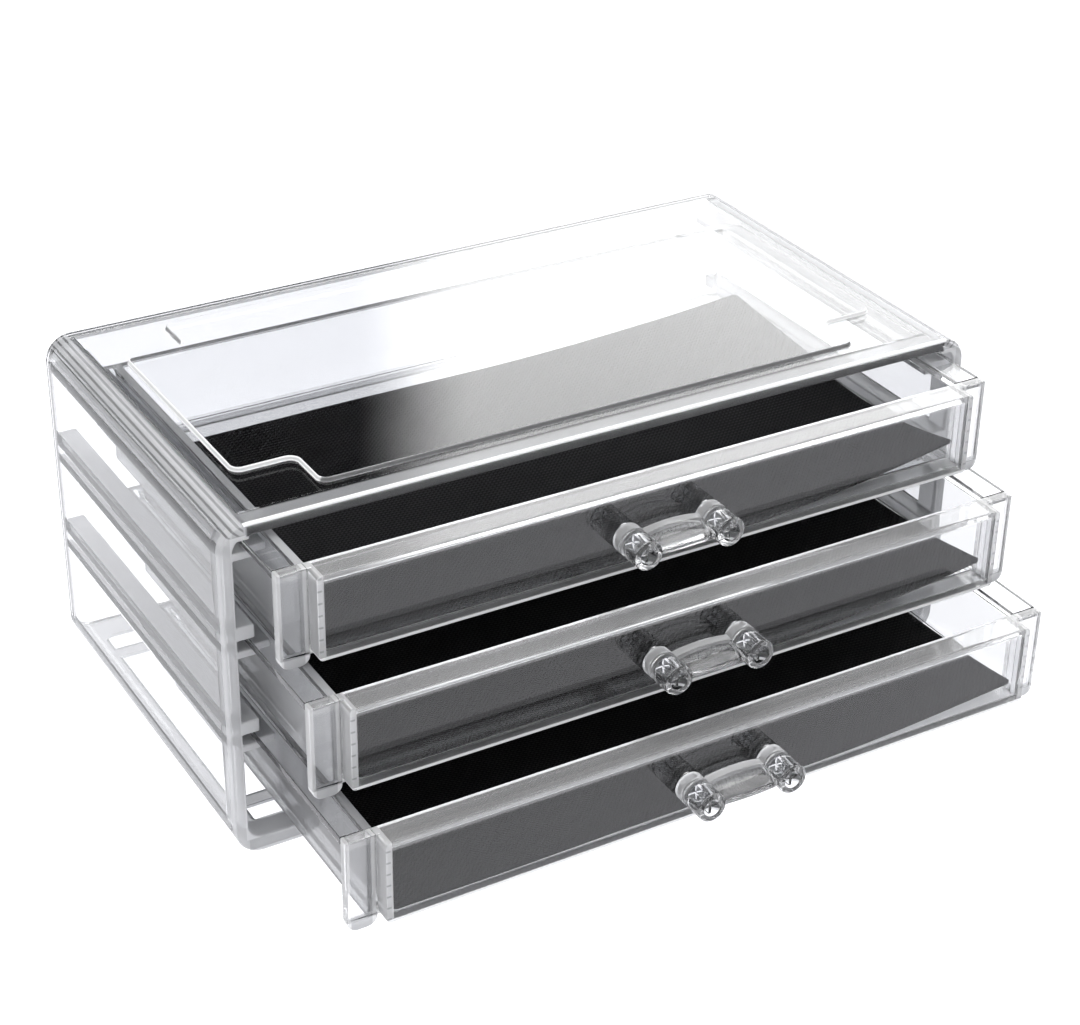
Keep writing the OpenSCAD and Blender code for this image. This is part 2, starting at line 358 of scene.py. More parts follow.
def post_mesh(centre, size):
    """One post: a profile turned round the post's axis, with collar, groove and blind bore.

    Point (k, a) is centre + (r_k cos a, -t_k, r_k sin a), with t the distance in front of the face.
    """
    r, groove, end = size.post_radius, size.post_radius - size.groove, size.post_length
    corners = [  # radius and distance in front of the face, with the rounding of that corner
        (0, -size.spigot_length, 0), (size.spigot_radius, -size.spigot_length, 0.1 * MM),
        (size.spigot_radius, size.seam, 0.1 * MM), (r, size.seam, 0.5 * MM),
        (r, size.collar, 0.25 * MM), (groove, size.collar, 0.12 * MM),
        (groove, size.collar + size.groove_width, 0.12 * MM),
        (r, size.collar + size.groove_width, 0.25 * MM), (r, end, 0.75 * MM),
        (size.bore_radius, end, 0.35 * MM), (size.bore_radius, end - size.bore_depth, 0.5 * MM),
        (0, end - size.bore_depth, 0)]
    profile = rounded_profile([corner[:2] for corner in corners],
                              [corner[2] for corner in corners[1:-1]], steps=5)
    angle = np.linspace(0, 2 * np.pi, size.post_sides, endpoint=False)
    radius, reach = profile[:, :1], profile[:, 1:]
    points = np.stack([radius * np.cos(angle), -reach + 0 * angle, radius * np.sin(angle)], axis=-1)
    return grid_mesh("post", points + centre, ring=True)


def cross_mesh(centre, size):
    """The cross in a post's bore: a plus-shaped loop carried along the bore's axis."""
    half, arm = size.cross / 2, size.bore_radius - 0.05 * MM  # its arms stop short of the bore's wall
    loop = np.array([(half, half), (arm, half), (arm, -half), (half, -half), (half, -arm),
                     (-half, -arm), (-half, -half), (-arm, -half), (-arm, half), (-half, half),
                     (-half, arm), (half, arm)])
    reach = size.post_length - size.bore_depth + np.array([[size.seam], [size.bore_depth - size.cross_in]])
    points = np.stack(np.broadcast_arrays(loop[:, 0], -reach, loop[:, 1]), axis=-1)
    return grid_mesh("cross", points + centre, ring=True)


def web_mesh(centre, size):
    """The web between the posts: an arched sheet, sloping down to a bowed front edge.

    u runs from post to post and w round the sheet's section, a rectangle with rounded corners. The
    middle of the sheet is rise - (R - sqrt(R^2 - x^2)) high, and its front edge lies
    bow - (B - sqrt(B^2 - x^2)) in front of its ends.
    """
    span = size.post_gap / 2
    arch = (span ** 2 + size.web_rise ** 2) / (2 * size.web_rise)
    bow = (span ** 2 + size.web_bow ** 2) / (2 * size.web_bow)
    half = size.web / 2
    u = np.linspace(-1, 1, 61)[:, None]
    # corner places of the section: share of the length, then of the thickness
    front_round, rear_round, edge_thick = 0.055, 0.03, 0.62
    section = rounded_profile([(0.5, -1), (1, -1), (1, 1), (0, 1), (0, -1), (0.5, -1)],
                              [front_round, front_round, rear_round, rear_round], steps=5)[:-1]
    # the sheet thins towards its front and rear edges
    share, thick = section[:, 0][None], section[:, 1][None]
    near = np.clip(np.minimum(share, 1 - share) / front_round, 0, 1)
    thick = np.sign(thick) * np.minimum(abs(thick), edge_thick + (1 - edge_thick) * near ** 0.6)
    rise = np.sqrt(arch ** 2 - (u * (span - size.post_radius)) ** 2) - arch + size.web_rise
    lift = rise + half * thick
    end = span - np.sqrt(np.maximum(size.post_radius ** 2 - lift ** 2, 0)) - 0.03 * MM
    x = u * end
    rise = np.sqrt(arch ** 2 - x ** 2) - arch + size.web_rise
    front = size.post_length - size.web_back - (bow - np.sqrt(bow ** 2 - x ** 2))
    y = -(size.web_start + share * (front - size.web_start))
    tilt = x / arch
    z = rise + half * thick * np.sqrt(1 - tilt ** 2)
    x = x + half * thick * tilt * (1 - u ** 2)
    slope = size.web_slope
    points = np.stack([x, y * math.cos(slope) - z * math.sin(slope),
                       y * math.sin(slope) + z * math.cos(slope)], axis=-1)
    return grid_mesh("web", points + centre, ring=True)


# ---------------------------------------------------------------- mats

def mat_points(low, high, looks, seed, rear_lift, front_lift):
    """A thin mat as rows x columns x 3 points, and its flat coordinates.

    It lies a rest above z = low, with slow waves (sums of sines with random phases). Its two corners
    by the right-hand wall are raised by a lift times a power of the nearness to the corner, and drawn
    in by a share of what they rise, side_draw sideways and end_draw lengthways.
    """
    chance = np.random.default_rng(seed)
    width, length = high[0] - low[0], high[1] - low[1]
    u, v = np.meshgrid(np.linspace(-0.5, 0.5, 151), np.linspace(0, 1, 101), indexing="xy")
    x, y = u * width, v * length
    radius = looks.mat_corner
    # corners: a point outside the corner's circle is drawn back onto it
    inner_x = np.clip(x, -width / 2 + radius, width / 2 - radius)
    inner_y = np.clip(y, radius, length - radius)
    far = np.hypot(x - inner_x, y - inner_y)
    draw = np.where(far > radius, radius / np.maximum(far, 1e-9), 1)
    x, y = inner_x + (x - inner_x) * draw, inner_y + (y - inner_y) * draw
    phase = chance.uniform(0, 2 * np.pi, 4)
    turns = chance.uniform(1.5, 4.5, 4)
    wave = (np.sin(turns[0] * 2 * np.pi * u + phase[0]) * np.sin(turns[1] * np.pi * v + phase[1])
            + np.sin(turns[2] * 2 * np.pi * (u + v) + phase[2]) * 0.5 + np.sin(
            turns[3] * np.pi * (v - u) + phase[3]) * 0.5)
    wave = looks.mat_wave * (wave - wave.min()) / (wave.max() - wave.min())
    rest, side_draw, end_draw = 0.1 * MM, 0.12, 0.25
    near_right = np.clip((u + 0.1) / 0.6, 0, 1)
    rear = rear_lift * (near_right ** 1.6 * np.clip((v - 0.35) / 0.65, 0, 1)) ** 1.5
    front = front_lift * (np.clip((u - 0.12) / 0.38, 0, 1) * np.clip((0.42 - v) / 0.42, 0, 1)) ** 1.6
    z = looks.mat_thickness + rest + wave + rear + front
    points = np.stack([x + (low[0] + high[0]) / 2 - side_draw * (rear + front),
                       y + low[1] + end_draw * (front - rear), z + low[2]], axis=-1)
    return points, np.stack([x, y], axis=-1)


# ---------------------------------------------------------------- properties

class OrganizerLooks(PropertyGroup):
    """Sizes and finishes of the organizer's pieces that the solids don't hold, and the light and shade
    painted on the clear plastic and on the mats.
    """
    casing_edge: FloatProperty(name="Casing edge", description="Rounding of the casing's edges",
                               default=0.55 * MM, min=0.0, unit="LENGTH")
    drawer_edge: FloatProperty(name="Drawer edge", description="Rounding of the trays' and fronts' edges",
                               default=0.35 * MM, min=0.0, unit="LENGTH")
    seam: FloatProperty(name="Seam", description="Hair's breadth between pieces that touch",
                        default=0.02 * MM, min=0.0, unit="LENGTH")
    tint: FloatVectorProperty(name="Plastic tint", description="Colour of the clear plastic",
                              default=(0.965, 0.969, 0.976), size=3, subtype="COLOR", min=0, max=1)
    polish: FloatProperty(name="Polish", description="Roughness of the clean polished plastic",
                          default=0.004, min=0.0, max=1.0, subtype="FACTOR")
    bend: FloatProperty(name="Refraction", description="Index of refraction of the clear plastic",
                        default=1.46, min=1.0)
    smudge: FloatProperty(name="Smudge", description="Extra roughness where hands have been",
                          default=0.05, min=0.0, max=1.0, subtype="FACTOR")
    ripple: FloatProperty(name="Moulding ripple", description="Depth of the slow ripple in the plastic",
                          default=0.015 * MM, min=0.0, unit="LENGTH")
    # painted colours of the skin: grey, pale light, and dark where an edge shows a mat
    painted_grey: FloatVectorProperty(name="Mist grey", description="Colour of the milky ribs and walls",
                                   default=(0.6, 0.605, 0.62), size=3, subtype="COLOR", min=0, max=1)
    painted_pale: FloatVectorProperty(name="Mist pale", description="Colour of the milky edges and lips",
                                   default=(0.94, 0.945, 0.95), size=3, subtype="COLOR", min=0, max=1)
    painted_mat_dark: FloatVectorProperty(name="Mist dark", description="Colour of edges that show a mat",
                                   default=(0.02, 0.02, 0.022), size=3, subtype="COLOR", min=0, max=1)
    foot: FloatProperty(name="Foot", description="Height of the standing frame under the floor",
                        default=1.6 * MM, unit="LENGTH")
    floor_top: FloatProperty(name="Floor top", description="From the underside to the floor's top",
                             default=4.1 * MM, unit="LENGTH")
    rim: FloatProperty(name="Rim depth", description="Depth of the milky rim round the casing's front",
                       default=3.0 * MM, unit="LENGTH")
    rim_width: FloatProperty(name="Rim width", description="Width of that rim beside the opening",
                             default=3.5 * MM, unit="LENGTH")
    # the milkiness, brightness and shade factors below set how much of the painted skin, painted light and
    # shade in place of the clear plastic, covers each part
    post_paint: FloatProperty(name="Post mist", description="Milkiness of the rim's upright sides",
                             default=0.6, min=0.0, max=1.0, subtype="FACTOR")
    rim_paint: FloatProperty(name="Rim mist", description="Milkiness of the casing's front rim",
                            default=0.45, min=0.0, max=1.0, subtype="FACTOR")
    rib_paint: FloatProperty(name="Rib mist", description="Milkiness of the casing's ribs and underside",
                            default=0.75, min=0.0, max=1.0, subtype="FACTOR")
    shoulder: FloatProperty(name="Shoulder", description="Width of the lid's rounded side edges",
                            default=7.0 * MM, unit="LENGTH")
    shoulder_paint: FloatProperty(name="Shoulder mist", description="Milkiness of those side edges",
                                 default=0.5, min=0.0, max=1.0, subtype="FACTOR")
    # the shoulder lines are painted dark reflections
    shoulder_line: FloatProperty(name="Shoulder lines", description="Spacing of the lines along them",
                                 default=2.6 * MM, unit="LENGTH")
    # the lid's front bar is painted dark where it shows the mat
    bar_shade: FloatProperty(name="Bar shade", description="How much the lid's front face shows the mat",
                             default=0.78, min=0.0, max=1.0, subtype="FACTOR")
    case_wall: FloatProperty(name="Casing wall", description="Thickness of the casing's walls",
                             default=2.5 * MM, unit="LENGTH")
    step: FloatProperty(name="Step", description="Height of the stacking step on the lid",
                        default=1.2 * MM, unit="LENGTH")
    step_paint: FloatProperty(name="Step mist", description="Milkiness of the stacking step's edge",
                             default=0.9, min=0.0, max=1.0, subtype="FACTOR")
    step_frost: FloatProperty(name="Step frost", description="Roughness of the stacking step's edge",
                              default=0.45, min=0.0, max=1.0, subtype="FACTOR")
    step_end: FloatProperty(name="Step end", description="From the casing's front or back to the step",
                            default=10.0 * MM, unit="LENGTH")
    notch: FloatProperty(name="Notch", description="How far the notches reach into the step",
                         default=14.0 * MM, unit="LENGTH")
    # the front edge's brightness is a painted highlight
    line_paint: FloatProperty(name="Front line", description="Brightness of the lid's front edge",
                             default=0.85, min=0.0, max=1.0, subtype="FACTOR")
    pane_paint: FloatProperty(name="Pane mist", description="Milkiness of the back pane's edges",
                             default=0.6, min=0.0, max=1.0, subtype="FACTOR")
    tray_half: FloatProperty(name="Tray half width", description="From the middle to a tray's side",
                             default=106.4 * MM, unit="LENGTH")
    tray_wall: FloatProperty(name="Tray wall", description="Thickness of the trays' side walls",
                             default=2.4 * MM, unit="LENGTH")
    tray_floor: FloatProperty(name="Tray floor", description="From a tray's underside to its floor's top",
                              default=4.5 * MM, unit="LENGTH")
    tray_paint: FloatVectorProperty(name="Tray mist", size=2, min=0.0, max=1.0,
                                   description="Milkiness of the trays' left and right side walls",
                                   default=(0.5, 0.12))
    back_paint: FloatProperty(name="Back mist", description="Milkiness of the top of a tray's rear wall",
                             default=0.6, min=0.0, max=1.0, subtype="FACTOR")
    # painted shade of each tray's walls in front of the casing, darkest for the bottom tray
    tray_shade: FloatVectorProperty(name="Tray tone", size=3, min=-1.0, max=1.0,
                                   description="Tone of each tray's walls in front of the casing",
                                   default=(0.0, 0.0, -0.45))
    floor_paint: FloatProperty(name="Floor mist", description="Milkiness of the trays' floors",
                              default=0.18, min=0.0, max=1.0, subtype="FACTOR")
    lip: FloatProperty(name="Lip", description="Thickness of the lip along the top of a front",
                       default=2.4 * MM, unit="LENGTH")
    lip_paint: FloatProperty(name="Lip mist", description="Milkiness of that lip",
                            default=0.2, min=0.0, max=1.0, subtype="FACTOR")
    face_half: FloatProperty(name="Face half width", description="From the middle to a front box's side",
                             default=104.4 * MM, unit="LENGTH")
    wing_paint: FloatProperty(name="Wing mist", description="Milkiness of the wings at a front's ends",
                             default=0.28, min=0.0, max=1.0, subtype="FACTOR")
    wing_half: FloatProperty(name="Wing half width", description="From the middle to a wing's outer side",
                             default=113.0 * MM, unit="LENGTH")
    wing_drop: FloatProperty(name="Wing drop", description="How far the wings hang below the front",
                             default=3.5 * MM, unit="LENGTH")
    end_paint: FloatProperty(name="End mist", description="Milkiness of a front box's two ends",
                            default=0.35, min=0.0, max=1.0, subtype="FACTOR")
    # the ticks are painted dark reflections
    tick: FloatProperty(name="Tick spacing", description="Spacing of the ticks up a front box's ends",
                        default=3.6 * MM, unit="LENGTH")
    tick_paint: FloatProperty(name="Tick shade", description="Strength of those ticks",
                             default=0.5, min=0.0, max=1.0, subtype="FACTOR")
    foot_paint: FloatProperty(name="Foot mist", description="Milkiness of a front's bottom edge",
                             default=0.75, min=0.0, max=1.0, subtype="FACTOR")
    collar_paint: FloatProperty(name="Collar mist", description="Milkiness of the collars of the pulls",
                               default=0.3, min=0.0, max=1.0, subtype="FACTOR")
    post_radius: FloatProperty(name="Post radius", description="Outside radius of a pull's post",
                               default=4.4 * MM, unit="LENGTH")
    post_length: FloatProperty(name="Post length", description="Length of a post in front of the face",
                               default=12.0 * MM, unit="LENGTH")
    post_gap: FloatProperty(name="Post spacing", description="Distance between the two posts' axes",
                            default=26.2 * MM, unit="LENGTH")
    post_sides: IntProperty(name="Post facets", description="Steps round a post", default=96, min=12)
    collar: FloatProperty(name="Collar", description="Length of the collar at a post's foot",
                          default=3.6 * MM, unit="LENGTH")
    groove: FloatProperty(name="Groove depth", description="Depth of the groove in front of the collar",
                          default=0.4 * MM, unit="LENGTH")
    groove_width: FloatProperty(name="Groove width", description="Width of that groove",
                                default=0.8 * MM, unit="LENGTH")
    bore_radius: FloatProperty(name="Bore radius", description="Radius of a post's blind bore",
                               default=2.6 * MM, unit="LENGTH")
    bore_depth: FloatProperty(name="Bore depth", description="Depth of that bore",
                              default=7.5 * MM, unit="LENGTH")
    cross: FloatProperty(name="Cross", description="Thickness of the cross inside the bore",
                         default=0.9 * MM, unit="LENGTH")
    cross_in: FloatProperty(name="Cross setback", description="How far the cross lies behind the post's end",
                            default=1.4 * MM, unit="LENGTH")
    spigot_radius: FloatProperty(name="Spigot radius", description="Radius of the spigot in the face",
                                 default=2.2 * MM, unit="LENGTH")
    spigot_length: FloatProperty(name="Spigot length", description="Length of that spigot",
                                 default=2.2 * MM, unit="LENGTH")
    web: FloatProperty(name="Web", description="Thickness of the web between the posts",
                       default=2.2 * MM, unit="LENGTH")
    web_rise: FloatProperty(name="Web rise", description="Rise of the arched web in its middle",
                            default=2.2 * MM, unit="LENGTH")
    web_bow: FloatProperty(name="Web bow", description="How far the web's front edge bows forwards",
                           default=2.4 * MM, unit="LENGTH")
    web_back: FloatProperty(name="Web setback", description="How far the web stops behind the posts' ends",
                            default=0.4 * MM, unit="LENGTH")
    web_start: FloatProperty(name="Web gap", description="Gap between the web and the front face",
                             default=0.6 * MM, unit="LENGTH")
    web_slope: FloatProperty(name="Web slope", description="Slope of the web down towards its front edge",
                             default=math.radians(11), subtype="ANGLE", unit="ROTATION")
    mat_thickness: FloatProperty(name="Mat thickness", description="Thickness of the woven mesh",
                                 default=0.6 * MM, unit="LENGTH")
    mat_corner: FloatProperty(name="Mat corner", description="Corner radius of a mat",
                              default=1.5 * MM, unit="LENGTH")
    mat_wave: FloatProperty(name="Mat wave", description="Height of the slow waves in a mat",
                            default=0.5 * MM, unit="LENGTH")
    mat_rear_lift: FloatVectorProperty(name="Rear corner lift", unit="LENGTH", size=3,
                                       description="Rise of each mat's rear right corner, top mat first",
                                       default=(5.5 * MM, 0.8 * MM, 0.5 * MM))
    mat_front_lift: FloatVectorProperty(name="Front corner lift", unit="LENGTH", size=3,
                                        description="Rise of each mat's front right corner, top mat first",
                                        default=(7.0 * MM, 5.5 * MM, 3.5 * MM))
    mat_pitch: FloatProperty(name="Yarn pitch", description="Distance between two yarns of the mesh",
                             default=0.95 * MM, unit="LENGTH")
    # the gap colour is painted shade; the crown colour is the yarn's own colour with a painted sheen
    mat_gap_shade: FloatVectorProperty(name="Mesh gaps", description="Colour between the yarns",
                                  default=(0.004, 0.004, 0.0045), size=3, subtype="COLOR", min=0, max=1)
    mat_yarn_and_sheen: FloatVectorProperty(name="Mesh yarn", description="Colour of the yarns' crowns",
                                   default=(0.02, 0.02, 0.022), size=3, subtype="COLOR", min=0, max=1)


class OrganizerStage(PropertyGroup):
    """Camera and light."""
    azimuth: FloatProperty(name="Azimuth", description="Camera's turn from straight in front",
                           default=math.radians(-30.56), subtype="ANGLE", unit="ROTATION")
    elevation: FloatProperty(name="Elevation", description="Camera's height angle",
                             default=math.radians(29.96), subtype="ANGLE", unit="ROTATION")
    roll: FloatProperty(name="Roll", description="Camera's turn about its own axis",
                        default=math.radians(0.92), subtype="ANGLE", unit="ROTATION")
    place: FloatVectorProperty(name="Camera place", description="Where the camera stands", size=3,
                               default=(-0.31589, -0.55558, 0.41254), subtype="TRANSLATION", unit="LENGTH")
    lens: FloatProperty(name="Lens", description="Focal length on a 36 mm sensor", default=80.0)
    floor_glow: FloatProperty(name="Floor glow", description="Light that the lit table gives off",
                              default=0.95, min=0.0)
    box_light: FloatProperty(name="Soft box", description="Brightness of the soft box behind the right side",
                             default=1.9, min=0.0)
    top_light: FloatProperty(name="Top light", description="Brightness of the soft light overhead",
                             default=1.4, min=0.0)
    fill_light: FloatProperty(name="Fill", description="Brightness of the room round the table",
                              default=0.6, min=0.0)


# ---------------------------------------------------------------- operators

class ORGANIZER_OT_casing(Operator):
    """Shows the casing and its back pane with softened edges, in clear plastic"""
    bl_idname = "organizer.casing"
    bl_label = "Casing"

    def execute(self, context):
        looks = context.scene.organizer_looks
        low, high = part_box("case_shell")
        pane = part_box("case_back")[1]
        lid = high.z - looks.step

        def casing_paint(x, y, z, level):
            """Painted skin: painted grey ribs and underside, painted dark lines on the shoulders, a painted
            pale step edge and rim, and a lid whose front bar is painted dark where it shows a mat.
            """
            side, lid_low = abs(x), lid - looks.case_wall
            under = z.before(lid_low - 0.8 * MM, 0.5 * MM)
            inside = side.before(high.x - looks.case_wall - 0.4 * MM)
            above_floor = z.past(low.z + looks.floor_top, 1.0 * MM)
            foot = z.before(low.z + looks.foot - 0.4 * MM, 0.2 * MM)
            # painted grey on the ribs, the underside and the foot
            ribs = (inside * under * above_floor).larger(foot)
            shoulders = side.past(high.x - looks.shoulder, 0.5 * MM) * (1.0 - under)
            # painted dark reflection lines slanting along the shoulders
            lines = (side - z).stripes(looks.shoulder_line, 0.1, 0.9) * shoulders
            # the step: its top rounding and walls, less of them along the front and at the rear. They are
            # painted pale as a painted highlight, and painted grey at the rear
            cut = z.step(lid + 0.02 * MM, lid + 0.1 * MM) * (1.0 - level.step(0.93, 0.995))
            long_front = y.before(low.y + looks.step_end + 1.0 * MM, 0.6 * MM)
            rear = y.past(high.y - looks.step_end - looks.notch, 0.1 * looks.notch)
            edge = cut * (1.0 - long_front * 0.7) * (1.0 - rear * 0.4)
            # the rim round the opening: its front face, its uprights and the lid's bar in it. The face is
            # painted pale grey, the uprights painted grey, and the bar painted dark where the mat shows
            # through it
            rim = y.before(low.y + 0.1 * MM, 0.4 * MM)
            posts = side.past(high.x - looks.rim_width - 0.5 * MM, 0.5 * MM) * y.before(low.y + looks.rim)
            bar = rim * z.within(lid - looks.rim_width, lid - 0.9 * MM, 0.3 * MM) * (
                side.before(high.x - looks.shoulder - 1.0 * MM, 1.0 * MM))
            # a painted highlight along the lid's front edge
            front_line = y.before(low.y + 0.9 * MM, 0.5 * MM) * (
                z.past(lid - 0.8 * MM)) * (1.0 - shoulders)
            share = (ribs * looks.rib_paint).larger(shoulders * looks.shoulder_paint).larger(
                rim * looks.rim_paint).larger(posts * looks.post_paint).larger(
                edge * looks.step_paint).larger(bar * looks.bar_shade)
            tone = (edge * (1.0 - rear) * (1.0 - long_front)).larger(rim * 0.3).larger(front_line)
            return (share.larger(front_line * looks.line_paint),
                    tone - bar * 1.3 - lines * 0.8 - edge * rear * 0.6, cut * looks.step_frost)

        def pane_paint(x, y, z, level):
            """A painted grey edge at both sides and along the top."""
            edge = abs(x).past(pane.x - 0.7 * MM).larger(z.past(pane.z - 0.9 * MM))
            return edge * looks.pane_paint, 0.0, 0.0

        plastic = clear_plastic("casing clear plastic", looks, casing_paint)
        softened_copy("casing", "case_shell", looks.casing_edge, plastic, "case_clear", "case")
        softened_copy("back_pane", "case_back", looks.drawer_edge,
                      clear_plastic("back pane clear plastic", looks, pane_paint), "case_clear", "case",
                      seam=looks.seam)
        return {"FINISHED"}


class ORGANIZER_OT_drawers(Operator):
    """Shows the trays and their fronts with softened edges, in clear plastic"""
    bl_idname = "organizer.drawers"
    bl_label = "Trays and fronts"

    def execute(self, context):
        looks = context.scene.organizer_looks
        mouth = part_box("case_shell")[0].y
        for name, wall_shade in zip(DRAWERS, looks.tray_shade):
            low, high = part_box(f"tray_{name}")
            base, top = (corner.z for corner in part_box(f"front_{name}"))

            def tray_paint(x, y, z, level, low=low, high=high, wall_shade=wall_shade):
                """Painted skin: side walls painted pale inside the casing and with each tray's painted shade
                in front of it, a faint painted floor and a painted grey rear edge.
                """
                wall = abs(x).within(looks.tray_half - looks.tray_wall, looks.tray_half)
                left = x.before(-1.0 * MM, 2.0 * MM)
                walls = wall * (left * looks.tray_paint[0] + (1.0 - left) * looks.tray_paint[1])
                floor = z.before(low.z + looks.tray_floor - 0.1 * MM)
                back = y.past(high.y - looks.tray_wall - 0.3 * MM) * z.past(high.z - 0.7 * MM)
                share = walls.larger(floor * looks.floor_paint).larger(back * looks.back_paint)
                # painted shade: paler inside the casing, and each tray's own shade in front of it, darker
                # for the bottom tray
                deep = y.past(mouth - 4.0 * MM, 14.0 * MM)
                return share, wall * (wall_shade * (1.0 - deep) + deep * 0.5) - back * 0.25, 0.0

            def front_paint(x, y, z, level, base=base + looks.wing_drop, top=top):
                """Painted skin: a painted pale lip, wings painted grey with a painted pale border, painted
                grey box ends with painted dark reflection ticks, a painted pale bottom edge, and painted
                hanging wing ends.
                """
                side, half = abs(x), looks.face_half
                lip = z.past(top - looks.lip - 0.3 * MM, 0.6 * MM)
                wing = side.past(half, 0.6 * MM)
                # a painted pale border round each wing
                border = 1.0 - side.within(half + 1.8 * MM, looks.wing_half - 1.2 * MM, 0.4 * MM)
                end = side.within(half - 1.8 * MM, half)
                # painted dark reflection ticks up each box end
                ticks = side.within(half - 1.2 * MM, half - 0.2 * MM) * z.stripes(looks.tick, 0.78, 1.0)
                # a painted pale highlight along the bottom edge, and painted hanging wing ends
                foot = z.within(base - 0.3 * MM, base + 1.0 * MM) * (1.0 - wing)
                hanging = wing * z.before(base - 0.8 * MM, 1.2 * MM)
                share = (lip * looks.lip_paint).larger(wing * (0.4 + border) * looks.wing_paint).larger(
                    end * looks.end_paint).larger((foot + hanging) * looks.foot_paint)
                share = share.larger(ticks * looks.tick_paint)
                return share, lip.larger(border * 0.8).larger(foot) - ticks * 1.2, 0.0

            tray = clear_plastic(f"{name} tray clear plastic", looks, tray_paint)
            front = clear_plastic(f"{name} front clear plastic", looks, front_paint)
            softened_copy(f"clear_tray_{name}", f"tray_{name}", looks.drawer_edge, tray,
                          "tray_clear", f"drawer_{name}", seam=looks.seam)
            cuts = [side * place for side in (-1, 1) for place in (looks.post_gap / 2, looks.face_half)]
            softened_copy(f"clear_front_{name}", f"front_{name}", looks.drawer_edge, front,
                          "tray_clear", f"drawer_{name}", cuts=cuts)
        return {"FINISHED"}


class ORGANIZER_OT_pulls(Operator):
    """Makes the three pulls: two bored posts and an arched web each"""
    bl_idname = "organizer.pulls"
    bl_label = "Pulls"

    def execute(self, context):
        looks = context.scene.organizer_looks
        for name in DRAWERS:
            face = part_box(f"front_{name}")[0].y

            def collar_paint(x, y, z, level, face=face):
                """Painted pale collars at the feet of the posts."""
                collar = y.past(face - looks.collar - 0.2 * MM, 0.4 * MM)
                return collar * looks.collar_paint, collar, 0.0

            plastic = clear_plastic(f"{name} pull clear plastic", looks, collar_paint)
            low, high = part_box(f"tray_{name}")
            centre = np.array([0.0, face, (low.z + high.z) / 2])
            parts = [web_mesh(centre, looks)]
            for side in (-0.5, 0.5):
                axis = centre + (side * looks.post_gap, 0, 0)
                parts += [post_mesh(axis, looks), cross_mesh(axis, looks)]
            mesh = joined(f"clear_pull_{name}", parts)
            mesh.shade_smooth()
            mesh.set_sharp_from_angle(angle=CREASE_ANGLE)
            add_piece(f"clear_pull_{name}", mesh, plastic, "pull_clear", f"drawer_{name}",
                      f"pull_{name}")
        return {"FINISHED"}


class ORGANIZER_OT_mats(Operator):
    """Lays a woven mesh mat in each tray"""
    bl_idname = "organizer.mats"
    bl_label = "Mats"

    def execute(self, context):
        looks = context.scene.organizer_looks
        cloth = woven_mesh("black woven mesh", looks.mat_gap_shade, looks.mat_yarn_and_sheen, looks.mat_pitch)
        lifts = zip(looks.mat_rear_lift, looks.mat_front_lift)
        for seed, (name, lift) in enumerate(zip(DRAWERS, lifts), FIRST_SEED):
            low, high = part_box(f"mat_{name}")
            points, flat = mat_points(low, high, looks, seed, *lift)
            mesh = grid_mesh(f"woven_mat_{name}", points)
            chart = mesh.uv_layers.new(name="cloth")
            corner = np.empty(len(mesh.loops), np.int32)
            mesh.loops.foreach_get("vertex_index", corner)
            chart.data.foreach_set("uv", flat.reshape(-1, 2)[corner].astype(np.float32).ravel())
            mesh.shade_smooth()
            piece = add_piece(f"woven_mat_{name}", mesh, cloth, "mat_mesh", f"drawer_{name}",
                              f"mat_{name}")
            wall = piece.modifiers.new("mat thickness", "SOLIDIFY")
            wall.thickness = looks.mat_thickness
            wall.offset = -1
        return {"FINISHED"}


